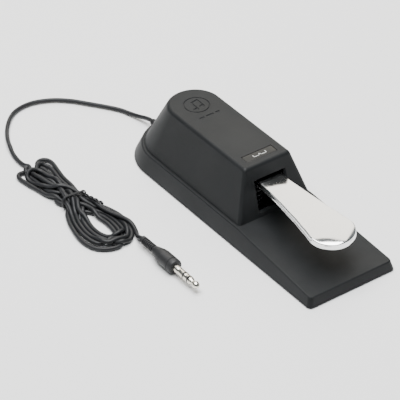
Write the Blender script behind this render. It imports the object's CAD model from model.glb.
"""Looks of the sustain pedal: moulded cover, chrome lever, tied cord and stereo plug around the CAD frame.

Metres, +Z up, the player's side at -Y. Places and sizes follow the CAD part; this file gives the surfaces.
"""

import math

import bmesh
import bpy
import numpy as np
from mathutils import Matrix, Vector
from mathutils.geometry import interpolate_bezier


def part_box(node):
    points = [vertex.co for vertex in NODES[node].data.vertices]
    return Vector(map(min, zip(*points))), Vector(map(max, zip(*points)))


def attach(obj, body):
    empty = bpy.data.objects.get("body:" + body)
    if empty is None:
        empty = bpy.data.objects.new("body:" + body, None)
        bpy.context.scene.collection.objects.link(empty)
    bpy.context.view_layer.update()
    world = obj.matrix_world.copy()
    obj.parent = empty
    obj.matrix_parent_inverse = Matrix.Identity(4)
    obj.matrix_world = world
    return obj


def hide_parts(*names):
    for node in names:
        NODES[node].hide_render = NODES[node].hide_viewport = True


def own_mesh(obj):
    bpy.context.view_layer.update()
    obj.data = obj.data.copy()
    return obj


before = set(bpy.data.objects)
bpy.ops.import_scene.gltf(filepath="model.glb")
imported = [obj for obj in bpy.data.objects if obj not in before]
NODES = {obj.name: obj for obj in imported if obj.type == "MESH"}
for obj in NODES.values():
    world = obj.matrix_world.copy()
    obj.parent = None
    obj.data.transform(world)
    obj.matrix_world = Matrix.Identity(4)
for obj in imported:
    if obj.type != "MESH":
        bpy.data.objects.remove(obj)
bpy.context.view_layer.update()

# ---------------------------------------------------------------- camera, from the picture's perspective
CAMERA_AT = (-1.01415, -1.32081, 1.25244)
CAMERA_TO = (-0.042532, 0.012796, 0.0184)
CAMERA_LENS = 225.1

# ---------------------------------------------------------------- sizes repeated from part.py
GAP = 0.0003
BASE_WIDTH, BASE_LENGTH, BASE_HEIGHT = 0.088, 0.272, 0.017
NOSE_HEIGHT, TOTAL_HEIGHT, SKIRT = 0.0096, 0.061, 0.001
SIDE_DRAFT, FRONT_DRAFT, REAR_DRAFT = 0.27, 0.24, 0.5
BASE_CORNER, LEDGE, WALL = 0.004, 0.0025, 0.0025
HOUSING_TOP_WIDTH, HOUSING_FRONT, FRONT_LEAN, REAR_LEAN = 0.0465, -0.034, 0.012, 0.0245
HOUSING_CORNER, TOP_FILLET, RAMP_START = 0.003, 0.0026, 0.001
WINDOW_WIDTH, WINDOW_BOTTOM, WINDOW_TOP, WINDOW_BEVEL = 0.030, 0.0215, 0.048, 0.0016
LABEL_SIZE, LABEL_Y = (0.030, 0.0085), -0.0108
EMBLEM_Y, EMBLEM_RADIUS = 0.076, 0.0113
LEVER_STATIONS = [
    (0.0600, 0.0080, 0.0398), (0.0400, 0.0084, 0.0413), (0.0220, 0.0098, 0.0430), (0.0000, 0.0110, 0.0452),
    (-0.0200, 0.0116, 0.0459), (-0.0380, 0.0124, 0.0456), (-0.0540, 0.0138, 0.0452),
    (-0.0780, 0.0164, 0.0443), (-0.0940, 0.0188, 0.0436), (-0.1060, 0.0208, 0.0428),
    (-0.1250, 0.0208, 0.0410)]
LEVER_TIP, LEVER_THICKNESS, LEVER_CROWN = 0.0185, 0.0048, 0.0013
PIVOT = (0.022, 0.040)
SPRING_Y, SPRING_RADIUS, SPRING_WIRE, SPRING_TURNS = -0.006, 0.0065, 0.002, 6.5
CORD = 0.0038
EXIT = (0.0, 0.1415, 0.0072)
PLUG_X, PLUG_FACE_Y, PLUG_Z = -0.1025, -0.0365, 0.0068
BOOT_LENGTH, BOOT_DIAMETER, BOOT_NECK, PLUG_DIAMETER = 0.047, 0.013, 0.0068, 0.00635
TIE_Y = 0.088
CORD_ROUTE = [
    (0.0, 0.1275, 0.0072), (0.0, 0.136, 0.0072), (0.0, 0.1435, 0.0072), (-0.0008, 0.1510, 0.0057),
    (-0.0026, 0.1600, 0.0034), (-0.0052, 0.1695, 0.0022), (-0.0088, 0.1785, 0.0022),
    (-0.0160, 0.1895, 0.0022), (-0.0249, 0.2014, 0.0022), (-0.0364, 0.2158, 0.0022),
    (-0.0502, 0.2269, 0.0022), (-0.0673, 0.2329, 0.0022), (-0.0847, 0.2301, 0.0022),
    (-0.0990, 0.2186, 0.0022), (-0.1114, 0.2007, 0.0022)]

# ---------------------------------------------------------------- the hank, chosen by hand
HANK_X = -0.1172                 # middle of the waist
FRONT_LOOPS = [                  # half width, reach from the tie, sway to the right
    (0.0178, 0.0690, -0.0072), (0.0150, 0.0700, 0.0056), (0.0138, 0.0635, -0.0040),
    (0.0112, 0.0600, 0.0050), (0.0170, 0.0665, 0.0012)]
REAR_LOOPS = [                   # place at the waist, place of the tip, reach from the tie
    (-0.0060, -0.0118, 0.0640), (0.0058, 0.0106, 0.0690), (-0.0034, -0.0044, 0.0640),
    (0.0036, 0.0052, 0.0630), (0.0, -0.0070, 0.0580)]
REAR_FOLD = [                    # share of the reach from the tie, half width of the fold
    (0.3, 0.0024), (0.60, 0.0048), (0.78, 0.0064), (0.90, 0.0068), (0.968, 0.0048)]
ENTER_HANK = [
    (-0.1205, 0.1770, 0.0050), (-0.1225, 0.1560, 0.0105), (-0.1215, 0.1300, 0.0130),
    (HANK_X - 0.0010, 0.1080, 0.0130), (HANK_X - 0.0030, TIE_Y, 0.0110)]
LEAVE_HANK = [
    (HANK_X + 0.0045, TIE_Y, 0.0150), (-0.1060, 0.0700, 0.0150), (-0.0995, 0.0480, 0.0140),
    (-0.0990, 0.0300, 0.0120), (-0.1018, 0.0190, 0.0085), (PLUG_X, 0.0108, PLUG_Z),
    (PLUG_X, 0.0020, PLUG_Z)]

# ---------------------------------------------------------------- how the cord settles
ROUNDS, QUICK_ROUNDS, RECOUNT = 260, 60, 10
FALL, PULL_HOME, STIFFNESS, PUSH_APART = 0.00006, 0.006, 0.35, 0.3
WAIST_REACH, WAIST_HALF, WAIST_TOP = 0.005, 0.0088, 0.0102     # room for centrelines inside the tie
BAND_ROOM, FLOOR_ROOM = 0.0010, 0.0001                         # under the strands
HELD_BEHIND, HELD_RIGHT, HELD_END = 0.185, -0.05, 0.0125       # the cord stays where it is drawn

# ---------------------------------------------------------------- the tie
BAND_THICKNESS, BAND_BOTTOM, BAND_CORNER = 0.0008, 0.0007, 0.0045
BAND_SECTION = [(-0.0012, -0.0003), (-0.0010, 0.0003), (-0.0004, 0.0003), (0.0, 0.0006), (0.0004, 0.0003),
                (0.0010, 0.0003), (0.0012, -0.0003)]
TWIST_RADIUS, TWIST_TURN = 0.00065, 0.40


# ---------------------------------------------------------------- mesh helpers
def mesh_from(bm, name):
    """Finish a bmesh with its faces pointing out."""
    bmesh.ops.recalc_face_normals(bm, faces=bm.faces)
    mesh = bpy.data.meshes.new(name)
    bm.to_mesh(mesh)
    bm.free()
    return mesh


def loft(name, rings, ends_joined=False):
    """Skin equal rings of points, capped unless the last ring joins the first."""
    bm = bmesh.new()
    loops = [[bm.verts.new(point) for point in ring] for ring in rings]
    count = len(loops[0])
    if ends_joined:
        loops.append(loops[0])
    for lower, upper in zip(loops, loops[1:]):
        for i in range(count):
            j = (i + 1) % count
            bm.faces.new((lower[i], lower[j], upper[j], upper[i]))
    if not ends_joined:
        bm.faces.new(loops[0][::-1])
        bm.faces.new(loops[-1])
    return mesh_from(bm, name)


def lathe(name, profile, matrix, steps, closed=False):
    """Turn a profile of (radius, height) round the local Z axis and set it in place."""
    turn = [math.tau * i / steps for i in range(steps)]
    rings = []
    for radius, height in profile:
        rings.append([matrix @ Vector((radius * math.cos(a), radius * math.sin(a), height)) for a in turn])
    return loft(name, rings, ends_joined=closed)


def sweep(name, points, section):
    """Carry a section of (across, up) offsets along a path."""
    rings = []
    last = len(points) - 1
    for i, point in enumerate(points):
        before, after = points[max(i - 1, 0)], points[min(i + 1, last)]
        ahead = (Vector(after) - Vector(before)).normalized()
        side = ahead.cross(Vector((0.0, 0.0, 1.0))).normalized()
        top = side.cross(ahead)
        rings.append([Vector(point) + side * a + top * b for a, b in section])
    return loft(name, rings)


def circle(radius, steps):
    """Round section."""
    return [(radius * math.cos(math.tau * i / steps), radius * math.sin(math.tau * i / steps))
            for i in range(steps)]


def arc(centre, radii, start, end, steps):
    """Points on an elliptical arc, angles in degrees."""
    points = []
    for i in range(steps + 1):
        angle = math.radians(start + (end - start) * i / steps)
        points.append((centre[0] + radii[0] * math.cos(angle), centre[1] + radii[1] * math.sin(angle)))
    return points


def piece(name, mesh, finish, body="base", replaces=(), sharp=32, even=False):
    """Add a mesh as a piece that rides on a CAD body."""
    obj = bpy.data.objects.new(name, mesh)
    bpy.context.scene.collection.objects.link(obj)
    mesh.materials.clear()
    mesh.materials.append(finish)
    mesh.shade_smooth()
    mesh.set_sharp_from_angle(angle=math.radians(sharp))
    if even:
        weight = obj.modifiers.new("even_normals", "WEIGHTED_NORMAL")
        weight.keep_sharp = True
    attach(obj, body)
    if replaces:
        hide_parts(*replaces)
    return obj


def carve(mesh, cutter, operation):
    """Join or cut one mesh with another and return the result."""
    made = []
    for name, data in (("work", mesh), ("tool", cutter)):
        obj = bpy.data.objects.new(name, data)
        bpy.context.scene.collection.objects.link(obj)
        made.append(obj)
    step = made[0].modifiers.new("carve", "BOOLEAN")
    step.operation = operation
    step.solver = "EXACT"
    step.object = made[1]
    bpy.context.view_layer.update()
    shaped = bpy.data.meshes.new_from_object(made[0].evaluated_get(bpy.context.evaluated_depsgraph_get()))
    for obj in made:
        bpy.data.objects.remove(obj)
    return shaped


def box_mesh(name, low, high, round_off=0.0):
    """A box between two corners, its edges rounded."""
    bm = bmesh.new()
    size, centre = Vector(high) - Vector(low), (Vector(high) + Vector(low)) / 2
    bmesh.ops.create_cube(bm, size=1.0, matrix=Matrix.Translation(centre) @ Matrix.Diagonal((*size, 1.0)))
    if round_off:
        bmesh.ops.bevel(bm, geom=bm.edges[:], offset=round_off, segments=3, profile=0.5, affect="EDGES")
    return mesh_from(bm, name)


def joined(name, meshes):
    """Several meshes as one."""
    bm = bmesh.new()
    for mesh in meshes:
        bm.from_mesh(mesh)
    made = bpy.data.meshes.new(name)
    bm.to_mesh(made)
    bm.free()
    return made


# ---------------------------------------------------------------- materials
class Finish:
    """A material under construction: a Principled shader fed by textures in the piece's own coordinates."""

    def __init__(self, name, color, roughness, metallic=0.0, **extra):
        """Start from plain values; extra names further sockets of the shader."""
        self.material = bpy.data.materials.new(name)
        self.material.use_nodes = True
        self.nodes = self.material.node_tree.nodes
        self.links = self.material.node_tree.links
        self.shader = self.nodes["Principled BSDF"]
        self.place = self.nodes.new("ShaderNodeTexCoord").outputs["Object"]
        self.color = color
        self.shader.inputs["Base Color"].default_value = (*color, 1.0)
        self.shader.inputs["Roughness"].default_value = roughness
        self.shader.inputs["Metallic"].default_value = metallic
        for socket, value in extra.items():
            self.shader.inputs[socket].default_value = value
        self.normal = None

    def noise(self, scale, detail=3.0, stretch=(1.0, 1.0, 1.0)):
        """Fractal noise, its size set per metre."""
        mapping = self.nodes.new("ShaderNodeMapping")
        mapping.inputs["Scale"].default_value = stretch
        self.links.new(self.place, mapping.inputs["Vector"])
        texture = self.nodes.new("ShaderNodeTexNoise")
        texture.inputs["Scale"].default_value = scale
        texture.inputs["Detail"].default_value = detail
        self.links.new(mapping.outputs["Vector"], texture.inputs["Vector"])
        return texture.outputs[0]

    def cells(self, scale):
        """Small cells, as on a leather-like moulding grain."""
        texture = self.nodes.new("ShaderNodeTexVoronoi")
        texture.inputs["Scale"].default_value = scale
        self.links.new(self.place, texture.inputs["Vector"])
        return texture.outputs["Distance"]

    def spread(self, source, low, high, start=0.3, end=0.7):
        """Map a texture to a range of values."""
        ranged = self.nodes.new("ShaderNodeMapRange")
        for socket, value in zip(("From Min", "From Max", "To Min", "To Max"), (start, end, low, high)):
            ranged.inputs[socket].default_value = value
        self.links.new(source, ranged.inputs["Value"])
        return ranged.outputs["Result"]

    def tint(self, source, darker, lighter, start=0.3, end=0.7):
        """Vary the base colour between two multiples of itself."""
        ramp = self.nodes.new("ShaderNodeValToRGB")
        for stop, share, place in zip(ramp.color_ramp.elements, (darker, lighter), (start, end)):
            stop.position = place
            stop.color = (*[min(c * share, 1.0) for c in self.color], 1.0)
        self.links.new(source, ramp.inputs["Fac"])
        self.links.new(ramp.outputs["Color"], self.shader.inputs["Base Color"])
        return self

    def rough(self, source, low, high, start=0.3, end=0.7):
        """Vary the roughness."""
        self.links.new(self.spread(source, low, high, start, end), self.shader.inputs["Roughness"])
        return self

    def bump(self, source, strength, height):
        """Add relief of a height in metres."""
        relief = self.nodes.new("ShaderNodeBump")
        relief.inputs["Strength"].default_value = strength
        relief.inputs["Distance"].default_value = height
        self.links.new(source, relief.inputs["Height"])
        if self.normal is not None:
            self.links.new(self.normal, relief.inputs["Normal"])
        self.normal = relief.outputs["Normal"]
        self.links.new(self.normal, self.shader.inputs["Normal"])
        return self

    def soft_edges(self, radius):
        """Round the shading over sharp edges."""
        edge = self.nodes.new("ShaderNodeBevel")
        edge.samples = 6
        edge.inputs["Radius"].default_value = radius
        self.normal = edge.outputs["Normal"]
        self.links.new(self.normal, self.shader.inputs["Normal"])
        return self


def moulded_plastic():
    """Black ABS of the cover: fine moulding grain, faint handling marks, soft moulded edges."""
    f = Finish("black_plastic_grain", (0.0088, 0.0098, 0.0106), 0.42, **{"Specular IOR Level": 0.20})
    f.soft_edges(0.0005)
    f.tint(f.noise(55.0, 4.0), 0.88, 1.14)
    f.rough(f.noise(26.0, 5.0), 0.44, 0.56)
    f.bump(f.cells(1500.0), 0.35, 0.00006)
    f.bump(f.noise(420.0, 2.0), 0.25, 0.00008)
    return f.material


def label_finish():
    """Satin printed panel with light brushing."""
    f = Finish("label_satin", (0.012, 0.0120, 0.0110), 0.42, **{"Specular IOR Level": 0.25})
    f.tint(f.noise(300.0, 3.0, (1.0, 12.0, 1.0)), 0.9, 1.12)
    f.rough(f.noise(120.0), 0.32, 0.46)
    f.bump(f.noise(2200.0), 0.2, 0.00003)
    return f.material


def white_print():
    """Screen-printed ink, slightly uneven."""
    f = Finish("white_ink", (0.62, 0.62, 0.60), 0.55)
    f.tint(f.noise(1500.0), 0.86, 1.08)
    f.bump(f.noise(3000.0), 0.3, 0.00002)
    return f.material


def chrome():
    """Polished chrome with faint smears and hair-fine polishing lines."""
    f = Finish("chrome_polish", (0.86, 0.865, 0.86), 0.09, 1.0)
    f.tint(f.noise(30.0, 4.0), 0.95, 1.03)
    f.rough(f.noise(48.0, 5.0, (1.0, 0.35, 1.0)), 0.07, 0.17)
    f.bump(f.noise(700.0, 2.0, (1.0, 0.06, 1.0)), 0.08, 0.00002)
    return f.material


def sheet_steel(name, color, low, high):
    """Plated sheet steel: spangle, rolling lines and dull patches."""
    f = Finish(name, color, low, 1.0)
    f.tint(f.cells(140.0), 0.86, 1.1, 0.1, 0.8)
    f.rough(f.noise(70.0, 4.0), low, high)
    f.bump(f.noise(900.0, 2.0, (1.0, 0.1, 1.0)), 0.15, 0.00004)
    return f.material


def rubber():
    """Matt rubber with a granular face and pale dust."""
    f = Finish("black_rubber_grain", (0.020, 0.020, 0.021), 0.82)
    f.tint(f.noise(90.0, 5.0), 0.8, 1.5)
    f.rough(f.noise(60.0), 0.72, 0.9)
    f.bump(f.cells(900.0), 0.6, 0.00012)
    return f.material


def nylon(name, color):
    """Natural or dyed nylon: waxy, slightly mottled."""
    f = Finish(name, color, 0.5, **{"Subsurface Weight": 0.08, "Subsurface Radius": (0.002, 0.0015, 0.001)})
    f.tint(f.noise(260.0), 0.9, 1.05)
    f.rough(f.noise(180.0), 0.42, 0.6)
    f.bump(f.noise(1600.0), 0.2, 0.00004)
    return f.material


def switch_resin():
    """Phenolic of the switch body, glass-filled and speckled."""
    f = Finish("switch_resin", (0.028, 0.028, 0.030), 0.48)
    f.tint(f.noise(1400.0, 2.0), 0.7, 1.7)
    f.rough(f.noise(300.0), 0.4, 0.6)
    f.bump(f.noise(1800.0), 0.3, 0.00004)
    return f.material


def cord_jacket():
    """Soft PVC jacket: satin, slightly waxy, with faint extrusion ripple and rubbed patches."""
    f = Finish("cord_jacket", (0.0130, 0.0135, 0.0150), 0.40, **{"Specular IOR Level": 0.25})
    f.tint(f.noise(70.0, 4.0), 0.8, 1.3)
    f.rough(f.noise(90.0, 4.0), 0.32, 0.52)
    f.bump(f.noise(1100.0, 2.0), 0.25, 0.00006)
    return f.material


def boot_jacket():
    """Moulded PVC of the plug's boot and the grommet."""
    f = Finish("boot_jacket", (0.014, 0.014, 0.015), 0.5, **{"Specular IOR Level": 0.35})
    f.tint(f.noise(160.0), 0.85, 1.25)
    f.rough(f.noise(140.0), 0.42, 0.58)
    f.bump(f.cells(1700.0), 0.35, 0.00006)
    return f.material


def plug_metal():
    """Nickel plate turned on a lathe: fine rings and light tarnish."""
    f = Finish("nickel_turned", (0.76, 0.72, 0.64), 0.18, 1.0)
    f.tint(f.noise(220.0, 4.0), 0.88, 1.05)
    f.rough(f.noise(160.0, 3.0), 0.14, 0.28)
    f.bump(f.noise(260.0, 2.0, (0.05, 18.0, 0.05)), 0.12, 0.00003)
    return f.material


def brass():
    """Stamped brass terminals with a brown bloom."""
    f = Finish("brass_stamped", (0.70, 0.50, 0.24), 0.28, 1.0)
    f.tint(f.noise(420.0, 4.0), 0.75, 1.05)
    f.rough(f.noise(300.0), 0.22, 0.42)
    f.bump(f.noise(1500.0), 0.15, 0.00003)
    return f.material


# ---------------------------------------------------------------- cord
def smooth_route(stations, spacing):
    """Points about a spacing apart on a smooth curve through the stations."""
    points = [Vector(s) for s in stations]
    padded = [points[0] * 2 - points[1], *points, points[-1] * 2 - points[-2]]
    route = [points[0]]
    for before, start, end, after in zip(padded, padded[1:], padded[2:], padded[3:]):
        steps = max(1, round((end - start).length / spacing))
        leave = start + (end - before) / 6
        arrive = end - (after - start) / 6
        route += interpolate_bezier(start, leave, arrive, end, steps + 1)[1:]
    return route


def even_steps(points, spacing):
    """The same line with its points a spacing apart."""
    line = np.array([tuple(p) for p in points])
    run = np.concatenate([[0.0], np.cumsum(np.linalg.norm(np.diff(line, axis=0), axis=1))])
    count = max(2, round(run[-1] / spacing)) + 1
    at = np.linspace(0.0, run[-1], count)
    return np.stack([np.interp(at, run, line[:, k]) for k in range(3)], axis=1)


def hank_stations():
    """Where the turns go before they settle: a wide teardrop at the front, a narrow fold at the rear."""
    fold = [*REAR_FOLD, (1.0, 0.0), *[(along, -across) for along, across in reversed(REAR_FOLD)]]
    stations = []
    for turn, ((half, reach, sway), (waist, tip, back)) in enumerate(zip(FRONT_LOOPS, REAR_LOOPS)):
        height = CORD * (0.55 + 0.75 * turn)
        stations.append((HANK_X + waist - CORD / 2, TIE_Y, height))
        for i in range(2, 15):
            t = math.tau * i / 16
            along = (1 - math.cos(t)) / 2
            across = math.sin(t) * math.sin(t / 2) ** 0.8 / 0.8
            start = waist * (1 - along) ** 2
            stations.append((HANK_X - half * across + start + sway * along, TIE_Y - reach * along, height))
        stations.append((HANK_X + waist + CORD / 2, TIE_Y, height))
        for along, across in fold:
            middle = waist + (tip - waist) * along
            stations.append((HANK_X + middle + across, TIE_Y + back * along, height + CORD * 0.3 * along))
    return stations


def settled(line, held, spacing, rounds):
    """Let the cord drop and spread until its turns lie on each other and on the floor instead of through
    each other. held marks the points that stay."""
    p = line.copy()
    home = line.copy()
    count = len(p)
    reach = int(round(1.6 * CORD / spacing))
    free = ~held
    for step in range(rounds):
        if step % RECOUNT == 0:
            i, j = np.triu_indices(count, reach + 1)
            near = np.linalg.norm(p[i] - p[j], axis=1) < 1.9 * CORD
            i, j = i[near], j[near]
        move = np.zeros_like(p)
        move[:, 2] -= FALL
        move[:, :2] += PULL_HOME * (home - p)[:, :2]
        bend = np.zeros_like(p)
        bend[2:-2] = (p[1:-3] + p[3:-1]) * (2 / 3) - (p[:-4] + p[4:]) / 6 - p[2:-2]
        p[free] += (move + STIFFNESS * bend)[free]
        for _ in range(3):
            away = p[j] - p[i]
            gap = np.linalg.norm(away, axis=1)
            apart = np.clip(CORD - gap, 0, None) * PUSH_APART
            push = away / np.maximum(gap, 1e-9)[:, None] * apart[:, None]
            shift = np.zeros_like(p)
            np.add.at(shift, i, -push)
            np.add.at(shift, j, push)
            p[free] += shift[free]
            in_tie = free & (abs(p[:, 1] - TIE_Y) < WAIST_REACH)
            p[in_tie, 0] = np.clip(p[in_tie, 0], HANK_X - WAIST_HALF, HANK_X + WAIST_HALF)
            p[in_tie, 2] = np.clip(p[in_tie, 2], CORD / 2 + BAND_ROOM, WAIST_TOP)
            for first in (0, 1):
                a = np.arange(first, count - 1, 2)
                along = p[a + 1] - p[a]
                length = np.linalg.norm(along, axis=1)
                fix = along / length[:, None] * ((length - spacing) * 0.5)[:, None]
                p[a] += fix * free[a][:, None]
                p[a + 1] -= fix * free[a + 1][:, None]
            p[free, 2] = np.maximum(p[free, 2], CORD / 2 + FLOOR_ROOM)
    for _ in range(3):                                         # take out the last ripples
        p[1:-1][free[1:-1]] = ((p[:-2] + p[2:]) / 4 + p[1:-1] / 2)[free[1:-1]]
    return p


def cord_line():
    """The whole cord's centreline: loose run, hank and tail to the plug's boot."""
    stations = CORD_ROUTE + ENTER_HANK + hank_stations() + LEAVE_HANK
    line = even_steps(smooth_route(stations, 0.0015), CORD * 0.55)
    step = np.linalg.norm(np.diff(line, axis=0), axis=1).mean()
    run = np.arange(len(line)) * step
    held = (line[:, 1] > HELD_BEHIND) | (line[:, 0] > HELD_RIGHT) | (run > run[-1] - HELD_END)
    return settled(line, held, step, ROUNDS)


def cord(line, jacket, with_pieces):
    """The one free cord, from inside the grommet to inside the boot."""
    points = line[np.linspace(0, len(line) - 1, len(line) // 2).round().astype(int)]
    data = bpy.data.curves.new("cord_free", "CURVE")
    data.dimensions = "3D"
    data.bevel_depth = CORD / 2
    data.bevel_resolution = 6
    data.resolution_u = 4
    data.use_fill_caps = True
    spline = data.splines.new("BEZIER")
    spline.bezier_points.add(len(points) - 1)
    for knot, point in zip(spline.bezier_points, points):
        knot.co = point
        knot.handle_left_type = knot.handle_right_type = "AUTO"
    data.materials.append(jacket)
    obj = bpy.data.objects.new("cord_free", data)
    bpy.context.scene.collection.objects.link(obj)
    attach(obj, "base")
    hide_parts("cord", "cord_hank", "cord_tail")


def lying_on(line, x, y):
    """Height of the hank's upper surface at a place."""
    away = np.hypot(line[:, 0] - x, line[:, 1] - y)
    under = line[away < CORD * 0.75]
    return float(under[:, 2].max()) + CORD / 2 if len(under) else 0.0


def tie_band(left, right, top):
    """Flat strip with a wire ridge, bent round the strands."""
    corner = min(BAND_CORNER, top / 2 - 0.0002)
    low, high = (left - BAND_THICKNESS, BAND_BOTTOM), (right + BAND_THICKNESS, top + BAND_THICKNESS)
    ring = []
    for cx, cz, start in ((high[0] - corner, high[1] - corner, 0), (low[0] + corner, high[1] - corner, 90),
                          (low[0] + corner, low[1] + corner, 180), (high[0] - corner, low[1] + corner, 270)):
        for x, z in arc((cx, cz), (corner, corner), start, start + 90, 8):
            ring.append((x, TIE_Y + 0.0012 * math.sin((x - low[0]) * 300), z))
    strip = []
    for i, point in enumerate(ring):
        before, after = Vector(ring[i - 1]), Vector(ring[(i + 1) % len(ring)])
        ahead = (after - before).normalized()
        out = ahead.cross(Vector((0, 1, 0))).normalized()
        strip.append([Vector(point) + Vector((0, a, 0)) - out * b for a, b in BAND_SECTION])
    return loft("band", strip, ends_joined=True)


def tie_ends(line, right, top):
    """The strip's two ends, twisted together and lying on the hank."""
    stations = [(right - 0.0044, TIE_Y, top + 0.0011)]
    for step in range(1, 8):
        x, y = right - 0.0030 + 0.0009 * step, TIE_Y - 0.0031 * step
        stations.append((x, y, lying_on(line, x, y) + 0.0014))
    middle = smooth_route(stations, 0.0007)
    ends = []
    for side in (0.0, math.pi):
        strand = []
        for i, point in enumerate(middle):
            angle = side + i * TWIST_TURN
            across, rise = TWIST_RADIUS * math.cos(angle), TWIST_RADIUS * math.sin(angle)
            strand.append(point + Vector((across, 0.0, rise)))
        ends.append(sweep("end", strand, circle(TWIST_RADIUS, 8)))
    return ends


def tie(line, jacket):
    """Twist tie round the waist."""
    waist = line[abs(line[:, 1] - TIE_Y) < 0.004]
    left, right = waist[:, 0].min() - CORD / 2, waist[:, 0].max() + CORD / 2
    top = waist[:, 2].max() + CORD / 2
    mesh = joined("twist_tie", [tie_band(left, right, top), *tie_ends(line, right, top)])
    return piece("twist_tie", mesh, jacket, replaces=["hank_tie"])


# ---------------------------------------------------------------- plug and grommet
def plug_frame():
    """Local Z runs from the boot's face towards the plug's tip."""
    return Matrix.Translation((PLUG_X, PLUG_FACE_Y, PLUG_Z)) @ Matrix.Rotation(math.radians(90), 4, "X")


def boot(jacket):
    """Boot with a ribbed, tapering strain relief and a thick body."""
    body, neck = BOOT_DIAMETER / 2, BOOT_NECK / 2
    profile = [(0.0, 0.0), (body - 0.0016, 0.0), (body - 0.0005, -0.0004), (body, -0.0016), (body, -0.0045),
               (body - 0.0004, -0.0048), (body - 0.0004, -0.0056), (body, -0.0059), (body, -0.0160),
               (body * 0.97, -0.0185), (body * 0.90, -0.0210), (body * 0.78, -0.0238), (neck * 1.28, -0.0268),
               (neck * 1.06, -0.0290)]
    ribs = 7
    start, pitch = -0.0296, 0.00205
    for rib in range(ribs):
        share = rib / (ribs - 1)
        outer = neck * (1.04 - 0.04 * share)
        inner = outer - 0.00085
        at = start - pitch * rib
        profile += [(inner, at), (inner, at - pitch * 0.32), (outer, at - pitch * 0.46),
                    (outer, at - pitch * 0.88)]
    profile += [(neck * 0.98, -0.0446), (neck * 0.94, -BOOT_LENGTH + 0.0005), (neck * 0.80, -BOOT_LENGTH),
                (0.0, -BOOT_LENGTH)]
    return piece("boot_moulding", lathe("boot", profile, plug_frame(), 56), jacket,
                 replaces=["plug_boot"])


def plug_barrel(name, node, start, end, metal):
    """One ring of the plug with eased edges and a fine turned line."""
    radius = PLUG_DIAMETER / 2
    ease = min(0.00018, (end - start) / 5)
    profile = [(0.0, start), (radius - ease, start), (radius, start + ease)]
    if end - start > 0.003:
        line = start + (end - start) * 0.5
        profile += [(radius, line - 0.0002), (radius - 0.00006, line), (radius, line + 0.0002)]
    profile += [(radius, end - ease), (radius - ease, end), (0.0, end)]
    return piece(name, lathe(name, profile, plug_frame(), 40), metal, replaces=[node])


def plug_tip(metal):
    """Ball-nosed tip with its neck."""
    low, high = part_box("plug_tip")
    start, end = PLUG_FACE_Y - high.y, PLUG_FACE_Y - low.y
    r = PLUG_DIAMETER / 2
    profile = [(0.0, start), (r - 0.0002, start), (r, start + 0.0002), (r, end - 0.0098)]
    profile += [(r * 0.94, end - 0.0092), (r * 0.78, end - 0.0083), (r * 0.67, end - 0.0076),
                (r * 0.665, end - 0.0069), (r * 0.76, end - 0.0061), (r * 0.92, end - 0.0050),
                (r * 0.985, end - 0.0042), (r * 0.97, end - 0.0034), (r * 0.88, end - 0.0023),
                (r * 0.70, end - 0.0013), (r * 0.46, end - 0.0005), (r * 0.2, end - 0.0001), (0.0, end)]
    return piece("tip_turned", lathe("tip", profile, plug_frame(), 40), metal,
                 replaces=["plug_tip"])


def plug_pieces(metal, jacket):
    """Boot, sleeve, rings and tip, from the cord's end outwards."""
    made = [boot(jacket)]
    for name, node, start, end, finish, slot in (
            ("sleeve_turned", "plug_sleeve", GAP, 0.0120, metal, "nickel"),
            ("insulator_rear", "plug_insulator_rear", 0.0121, 0.0134, jacket, "plug_pvc"),
            ("ring_turned", "plug_ring", 0.0135, 0.0180, metal, "nickel"),
            ("insulator_front", "plug_insulator_front", 0.0181, 0.0192, jacket, "plug_pvc")):
        made.append(plug_barrel(name, node, start, end, finish))
    return [*made, plug_tip(metal)]


def exit_frame():
    """Local Z runs backwards along the cord's exit."""
    return Matrix.Translation((0.0, 0.0, EXIT[2])) @ Matrix.Rotation(math.radians(-90), 4, "X")


def grommet(jacket):
    """Strain relief at the rear wall: collar, two ribs and a taper."""
    bore = CORD / 2 + 0.0001
    wall = BASE_LENGTH / 2
    profile = [(bore, wall + 0.0052), (0.0024, wall + 0.0055)]
    for rib in range(2):
        at = wall + 0.0048 - 0.0013 * rib
        outer = 0.0028 + 0.0004 * rib
        profile += [(outer, at), (outer, at - 0.0006), (outer - 0.0004, at - 0.0008),
                    (outer - 0.0003, at - 0.0011)]
    profile += [(0.0036, wall + 0.0020), (0.0038, wall + 0.0016), (0.0038, wall + 0.0008),
                (0.0036, wall + 0.0003), (0.0027, wall + 0.0003), (0.0027, wall - 0.0117),
                (0.0031, wall - 0.0117), (0.0031, wall - 0.0135), (bore, wall - 0.0135)]
    return piece("grommet_moulding", lathe("grommet", profile, exit_frame(), 40, closed=True), jacket,
                 replaces=["cord_grommet"])


# ---------------------------------------------------------------- cover
def d_outline(half_width, front, rear, corner):
    """Plan outline with a straight front, rounded front corners and a half-round rear."""
    left = arc((-half_width + corner, front + corner), (corner, corner), 270, 180, 12)
    back = arc((0.0, rear - half_width), (half_width, half_width), 180, 0, 72)
    right = arc((half_width - corner, front + corner), (corner, corner), 0, -90, 12)
    return left + back + right


def base_ring(z, inset=0.0):
    """Base outline at a height, moved inwards by an inset."""
    rise = z - SKIRT
    half = BASE_WIDTH / 2 - SIDE_DRAFT * rise - inset
    front = -BASE_LENGTH / 2 + FRONT_DRAFT * rise + inset
    rear = BASE_LENGTH / 2 - REAR_DRAFT * rise - inset
    return [(x, y, z) for x, y in d_outline(half, front, rear, max(BASE_CORNER - inset, 0.001))]


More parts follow.
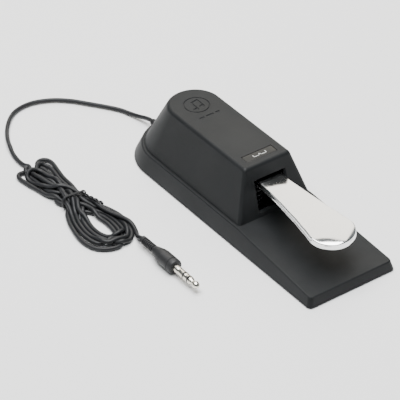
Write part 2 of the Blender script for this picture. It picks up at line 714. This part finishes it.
def housing_ring(z, inset=0.0):
    """Housing outline at a height, leaning in from its foot to its top."""
    share = (z - BASE_HEIGHT) / (TOTAL_HEIGHT - BASE_HEIGHT)
    foot_half = BASE_WIDTH / 2 - SIDE_DRAFT * (BASE_HEIGHT - SKIRT) - LEDGE
    half = foot_half + (HOUSING_TOP_WIDTH / 2 - foot_half) * share - inset
    front = HOUSING_FRONT + FRONT_LEAN * share + inset
    rear = BASE_LENGTH / 2 - REAR_DRAFT * (BASE_HEIGHT - SKIRT) - LEDGE - REAR_LEAN * share - inset
    return [(x, y, z) for x, y in d_outline(half, front, rear, max(HOUSING_CORNER - inset, 0.001))]


def ramp_cut(mesh, drop, round_off):
    """Cut a base solid along the ramp to the nose and round the edge round its upper face."""
    nose_y = -BASE_LENGTH / 2 + FRONT_DRAFT * (NOSE_HEIGHT - SKIRT)
    start = Vector((0.0, HOUSING_FRONT - RAMP_START, BASE_HEIGHT - drop))
    end = Vector((0.0, nose_y, NOSE_HEIGHT - drop))
    normal = (start - end).cross(Vector((-1.0, 0.0, 0.0))).normalized()
    bm = bmesh.new()
    bm.from_mesh(mesh)
    everything = bm.verts[:] + bm.edges[:] + bm.faces[:]
    cut = bmesh.ops.bisect_plane(bm, geom=everything, plane_co=start, plane_no=normal, clear_outer=True)
    rim = [item for item in cut["geom_cut"] if isinstance(item, bmesh.types.BMEdge)]
    bmesh.ops.edgeloop_fill(bm, edges=rim)
    bmesh.ops.recalc_face_normals(bm, faces=bm.faces)
    if round_off:
        upper = []
        for edge in bm.edges:
            ups = [face.normal.z > 0.9 for face in edge.link_faces]
            if len(ups) == 2 and ups[0] != ups[1]:
                upper.append(edge)
        bmesh.ops.bevel(bm, geom=upper, offset=round_off, segments=4, profile=0.5, affect="EDGES")
    return mesh_from(bm, mesh.name)


def housing_solid():
    """Housing with a rounded edge round its roof."""
    rings = [housing_ring(BASE_HEIGHT - WALL), housing_ring(BASE_HEIGHT)]
    for i in range(9):
        angle = math.radians(90) * i / 8
        rings.append(housing_ring(TOTAL_HEIGHT - TOP_FILLET + TOP_FILLET * math.sin(angle),
                                  TOP_FILLET * (1 - math.cos(angle))))
    return loft("housing", rings)


def window_cutter():
    """The lever's window: a straight hole with a bevelled mouth in the leaning front."""
    slope = FRONT_LEAN / (TOTAL_HEIGHT - BASE_HEIGHT)
    lean = slope * (WINDOW_TOP - WINDOW_BOTTOM)
    mouth = HOUSING_FRONT + slope * (WINDOW_BOTTOM - BASE_HEIGHT)

    def ring(y, grow):
        """The window's outline at a depth, grown on all sides."""
        half = WINDOW_WIDTH / 2 + grow
        corner = 0.0008 + grow * 0.3
        points = []
        for cx, cz, start, shift in ((-half + corner, WINDOW_BOTTOM - grow + corner, 180, 0.0),
                                     (half - corner, WINDOW_BOTTOM - grow + corner, 270, 0.0),
                                     (half - corner, WINDOW_TOP + grow - corner, 0, lean),
                                     (-half + corner, WINDOW_TOP + grow - corner, 90, lean)):
            points += [(x, y + shift, z) for x, z in arc((cx, cz), (corner, corner), start, start + 90, 4)]
        return points

    rings = [ring(mouth - 2 * WINDOW_BEVEL, 2 * WINDOW_BEVEL), ring(mouth + WINDOW_BEVEL, 0.0),
             ring(mouth + 5 * WALL, 0.0)]
    return loft("window", rings)


def roof_marks():
    """Engraving on the roof: a ring, a plain note inside it and three bars beside it."""
    depth = 0.00045
    top, low = TOTAL_HEIGHT + 0.001, TOTAL_HEIGHT - depth
    outer, inner = EMBLEM_RADIUS, EMBLEM_RADIUS - 0.0009
    head_apart, note_shift = 0.0034, 0.0008
    rings = []
    for radius, z in ((outer, top), (outer, low), (inner, low), (inner, top)):
        rings.append([(x, y, z) for x, y in arc((0.0, EMBLEM_Y), (radius, radius), 0, 360, 72)[:-1]])
    meshes = [loft("ring", rings, ends_joined=True)]
    head = arc((0.0, 0.0), (0.0028, 0.0021), 0, 360, 28)[:-1]
    turn = math.radians(24)
    for side in (-1, 1):
        cx, cy = side * head_apart - note_shift, EMBLEM_Y - 0.0048 + side * 0.0006
        oval = [(cx + x * math.cos(turn) - y * math.sin(turn), cy + x * math.sin(turn) + y * math.cos(turn))
                for x, y in head]
        meshes.append(loft("head", [[(x, y, z) for x, y in oval] for z in (low, top)]))
        stem = cx + 0.0022
        meshes.append(box_mesh("stem", (stem - 0.0004, cy + 0.0008, low), (stem + 0.0004, cy + 0.0100, top)))
    left, right = -head_apart - note_shift + 0.0018, head_apart - note_shift + 0.0026
    beam_y = EMBLEM_Y + 0.0040
    beam = [(left, beam_y - 0.0004), (right, beam_y + 0.0008), (right, beam_y + 0.0028),
            (left, beam_y + 0.0016)]
    meshes.append(loft("beam", [[(x, y, z) for x, y in beam] for z in (low, top)]))
    for start, length in ((-0.0098, 0.0046), (-0.0032, 0.0075), (0.0063, 0.0040)):
        meshes.append(box_mesh("bar", (start, 0.0572, low), (start + length, 0.0588, top)))
    return meshes


def cover(plastic):
    """The moulded shell: base with its ramp, housing, window, recess, engraving and cord exit."""
    base = loft("base", [base_ring(SKIRT), base_ring(SKIRT + 0.004), base_ring(BASE_HEIGHT)])
    shell = ramp_cut(base, 0.0, 0.0010)
    shell = carve(shell, housing_solid(), "UNION")
    hollow = ramp_cut(loft("hollow", [base_ring(0.0, WALL), base_ring(BASE_HEIGHT - WALL, WALL)]), WALL, 0.0)
    shell = carve(shell, hollow, "DIFFERENCE")
    room = loft("room", [housing_ring(BASE_HEIGHT - 2 * WALL, WALL), housing_ring(TOTAL_HEIGHT - WALL, WALL)])
    shell = carve(shell, room, "DIFFERENCE")
    shell = carve(shell, window_cutter(), "DIFFERENCE")
    exit_hole = lathe("exit", [(0.0, 0.110), (0.0030, 0.110), (0.0030, 0.150), (0.0, 0.150)],
                      exit_frame(), 32)
    shell = carve(shell, exit_hole, "DIFFERENCE")
    half_x, half_y = LABEL_SIZE[0] / 2 + GAP, LABEL_SIZE[1] / 2 + GAP
    recess = box_mesh("recess", (-half_x, LABEL_Y - half_y, TOTAL_HEIGHT - 0.0009),
                      (half_x, LABEL_Y + half_y, TOTAL_HEIGHT + 0.002))
    shell = carve(shell, recess, "DIFFERENCE")
    for mark in roof_marks():
        shell = carve(shell, mark, "DIFFERENCE")
    piece("cover_moulding", shell, plastic, replaces=["upper_cover"], even=True)


def label(satin, ink):
    """Sunk panel with a printed pedal line: down, held, released and held, up."""
    half_x, half_y = LABEL_SIZE[0] / 2, LABEL_SIZE[1] / 2
    face = TOTAL_HEIGHT - 0.00015
    panel = box_mesh("panel", (-half_x, LABEL_Y - half_y, face - 0.0007),
                     (half_x, LABEL_Y + half_y, face), 0.0002)
    piece("label_panel", panel, satin, replaces=["label_plate"])
    line = [(-0.0058, 0.0011), (-0.0058, -0.0011), (-0.0008, -0.0011), (0.0004, 0.0011), (0.0016, -0.0011),
            (0.0066, -0.0011), (0.0066, 0.0011)]
    half_stroke = 0.00025
    bars = []
    for start, end in zip(line, line[1:]):
        a, b = Vector((*start, 0.0)), Vector((*end, 0.0))
        turn = Matrix.Rotation(math.atan2(b.y - a.y, b.x - a.x), 4, "Z")
        place = Matrix.Translation(Vector((0.0, LABEL_Y, face)) + (a + b) / 2) @ turn
        bar = box_mesh("bar", (-(b - a).length / 2 - half_stroke, -half_stroke, -0.0001),
                       ((b - a).length / 2 + half_stroke, half_stroke, 0.00008))
        bar.transform(place)
        bars.append(bar)
    piece("label_print", joined("label_print", bars), ink)


# ---------------------------------------------------------------- lever and spring
def lever_at(y):
    """Half width and upper-edge height of the lever at y."""
    for rear, front in zip(LEVER_STATIONS, LEVER_STATIONS[1:]):
        if y >= front[0]:
            share = min(max((rear[0] - y) / (rear[0] - front[0]), 0.0), 1.0)
            ease = share * share * (3 - 2 * share) * 0.35 + share * 0.65
            return tuple(a + (b - a) * ease for a, b in zip(rear[1:], front[1:]))
    return LEVER_STATIONS[-1][1:]


def lever_section(y, half, top, crown, scale):
    """Section of the lever: crowned top, rounded rim, a fine step, a sloping side and a flared lower lip."""
    bottom = top - LEVER_THICKNESS
    rim = 0.0011 * scale
    flat = half - rim - 0.0005 * scale
    right = []
    for i in range(9):
        x = flat * i / 8
        right.append((x, top + crown * (1 - (x / flat) ** 2)))
    for i in range(1, 6):
        angle = math.radians(90 - 90 * i / 5)
        right.append((flat + rim * math.cos(angle), top - rim + rim * math.sin(angle)))
    right += [(flat + rim, top - rim - 0.0003), (flat + rim - 0.0003 * scale, top - rim - 0.0006),
              (flat + rim - 0.0003 * scale, top - rim - 0.0009),
              (flat + rim + 0.0001 * scale, top - rim - 0.0018),
              (flat + rim + 0.0002 * scale, bottom + 0.0014), (half, bottom + 0.0009),
              (half, bottom + 0.0004), (half - 0.0004 * scale, bottom), (half * 0.5, bottom)]
    left = [(-x, z) for x, z in reversed(right[1:])]
    return [(x, y, z) for x, z in right + [(0.0, bottom)] + left]


def lever(metal):
    """Chrome lever: arm, wide rounded tip and the hub on its shaft."""
    tail, nose = LEVER_STATIONS[0][0], LEVER_STATIONS[-1][0]
    tip_start = nose + LEVER_TIP
    places = [(tail - 0.0006, 0.55), (tail - 0.0018, 0.85), (tail - 0.0040, 1.0)]
    count = 72
    start = tail - 0.0040
    places += [(start + (tip_start - start) * i / count, 1.0) for i in range(1, count + 1)]
    for i in range(1, 31):
        angle = math.radians(90 * i / 30 * 0.975)
        places.append((tip_start - LEVER_TIP * math.sin(angle), math.cos(angle)))
    rings = []
    for y, share in places:
        half, top = lever_at(y)
        bare = min(max((-y - 0.025) / 0.02, 0.0), 1.0)
        rings.append(lever_section(y, half * share, top, LEVER_CROWN * bare * share, min(1.0, 4 * share)))
    arm = loft("arm", rings)
    across = Matrix.Translation((0.0, *PIVOT)) @ Matrix.Rotation(math.radians(90), 4, "Y")
    hub = lathe("hub", [(0.0080, 0.0129), (0.0075, 0.0134), (0.0053, 0.0134), (0.0053, -0.0134),
                        (0.0075, -0.0134), (0.0080, -0.0129)], across, 56, closed=True)
    piece("lever_chrome", joined("lever_chrome", [arm, hub]), metal, body="pedal",
          replaces=["pedal_lever"], sharp=38)


def spring(steel):
    """Coil spring with closed, ground end turns; it shortens as the lever goes down."""
    low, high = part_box("return_spring")
    first, last = low.z + SPRING_WIRE / 2, high.z - SPRING_WIRE / 2
    points = []
    count = int(SPRING_TURNS * 36)
    for i in range(count + 1):
        share = i / count
        ease = min(max((share - 0.10) / 0.80, 0.0), 1.0)
        z = first + (last - first) * (0.05 * min(share / 0.10, 1.0) + 0.90 * ease
                                      + 0.05 * min(max((share - 0.90) / 0.10, 0.0), 1.0))
        angle = math.tau * SPRING_TURNS * share
        points.append((SPRING_RADIUS * math.cos(angle), SPRING_Y + SPRING_RADIUS * math.sin(angle), z))
    coil = piece("spring_coil", sweep("spring_coil", points, circle(SPRING_WIRE / 2, 14)), steel,
                 replaces=["return_spring"])
    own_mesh(coil)


# ---------------------------------------------------------------- screws under the base
def cross_screw(node, steel):
    """Pan-head screw with a cross recess, facing down."""
    low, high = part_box(node)
    centre = (low + high) / 2
    place = Matrix.Translation((centre.x, centre.y, 0.0))
    radius = (high.x - low.x) / 2
    head = lathe(node, [(0.0, low.z), (radius * 0.55, low.z + 0.00005), (radius * 0.86, low.z + 0.00025),
                        (radius, low.z + 0.0007), (radius, 0.0020), (0.0015, 0.0021),
                        (0.0015, high.z), (0.0, high.z)], place, 32)
    for turn in (0, 90):
        slot_cut = box_mesh("slot", (-radius * 0.55, -0.0004, low.z - 0.001),
                            (radius * 0.55, 0.0004, low.z + 0.0009))
        slot_cut.transform(place @ Matrix.Rotation(math.radians(turn), 4, "Z"))
        head = carve(head, slot_cut, "DIFFERENCE")
    piece(f"{node}_cross", head, steel, replaces=[node])


# ---------------------------------------------------------------- stage, light and camera
def stage():
    """Pale floor under the object."""
    f = Finish("floor_paper", (0.90, 0.90, 0.90), 0.75)
    f.tint(f.noise(3.0), 0.995, 1.005)
    bm = bmesh.new()
    bmesh.ops.create_grid(bm, x_segments=1, y_segments=1, size=6.0)
    floor = bpy.data.objects.new("floor", mesh_from(bm, "floor"))
    floor.data.materials.append(f.material)
    floor.location.z = -0.0003
    bpy.context.scene.collection.objects.link(floor)


def lamp(name, place, size, power, color):
    """A square soft light aimed at the object."""
    data = bpy.data.lights.new(name, "AREA")
    data.color = color
    data.size = size
    data.energy = power
    obj = bpy.data.objects.new(name, data)
    obj.location = place
    obj.rotation_mode = "QUATERNION"
    obj.rotation_quaternion = (Vector(CAMERA_TO) - Vector(place)).to_track_quat("-Z", "Y")
    bpy.context.scene.collection.objects.link(obj)


def lights():
    """A dim grey room, a broad soft box behind the object whose reflection lies on the upper faces, and a
    high one for the floor."""
    world = bpy.data.worlds.new("studio")
    world.use_nodes = True
    back = world.node_tree.nodes["Background"]
    back.inputs["Color"].default_value = (0.86, 0.95, 1.0, 1.0)
    back.inputs["Strength"].default_value = 0.19
    bpy.context.scene.world = world
    lamp("behind", (0.98, 1.36, 1.28), 1.70, 25.0, (1.0, 0.95, 0.86))
    lamp("overhead", (-0.2, 0.1, 2.2), 2.0, 140.0, (1.0, 1.0, 1.0))


def camera():
    """Camera at the picture's own angle."""
    data = bpy.data.cameras.new("camera")
    data.lens = CAMERA_LENS
    data.clip_end = 50.0
    obj = bpy.data.objects.new("camera", data)
    obj.location = CAMERA_AT
    obj.rotation_mode = "QUATERNION"
    obj.rotation_quaternion = (Vector(CAMERA_TO) - Vector(CAMERA_AT)).to_track_quat("-Z", "Y")
    bpy.context.scene.collection.objects.link(obj)
    bpy.context.scene.camera = obj


def dress(nodes, finish):
    """Give CAD nodes their finish."""
    for name in nodes:
        NODES[name].data.materials.clear()
        NODES[name].data.materials.append(finish)


camera()
stage()
lights()

jacket = cord_jacket()
boot_finish = boot_jacket()
nickel = plug_metal()
zinc = sheet_steel("zinc_plated", (0.50, 0.50, 0.48), 0.30, 0.48)
screws = sheet_steel("screw_plated", (0.44, 0.43, 0.40), 0.26, 0.42)
dark = sheet_steel("dark_steel_phosphate", (0.075, 0.075, 0.078), 0.42, 0.60)

plug = plug_pieces(nickel, boot_finish)
relief = grommet(boot_finish)
centreline = cord_line()
cord(centreline, jacket, [*plug, relief, tie(centreline, jacket)])

cover(moulded_plastic())
label(label_finish(), white_print())
lever(chrome())
spring(dark)
for number in range(1, 7):
    cross_screw(f"cover_screw_{number}", screws)

dress(["bottom_plate", "rest_stop_pin", "down_stop_pin", "switch_bracket"], zinc)
dress([f"chassis_screw_{n}" for n in range(1, 5)]
      + ["switch_screw_front", "switch_screw_rear", "clamp_screw_left", "clamp_screw_right"],
      screws)
dress(["chassis_bracket", "pivot_shaft", "shaft_clip_left", "shaft_clip_right"], dark)
dress(["rubber_mat", "rest_stop_sleeve", "down_stop_sleeve"], rubber())
dress(["bush_left", "bush_right", "lever_guide_left", "lever_guide_right"],
      nylon("white_nylon_wax", (0.78, 0.77, 0.72)))
dress(["switch_body", "cord_clamp", "spring_cap", "spring_seat"], switch_resin())
dress(["switch_plunger", "lead_red"], nylon("red_nylon_wax", (0.42, 0.03, 0.025)))
dress(["lead_white"], nylon("white_lead_wax", (0.74, 0.73, 0.70)))
dress(["terminal_lower", "terminal_upper"], brass())
dress(["switch_strip"], nickel)
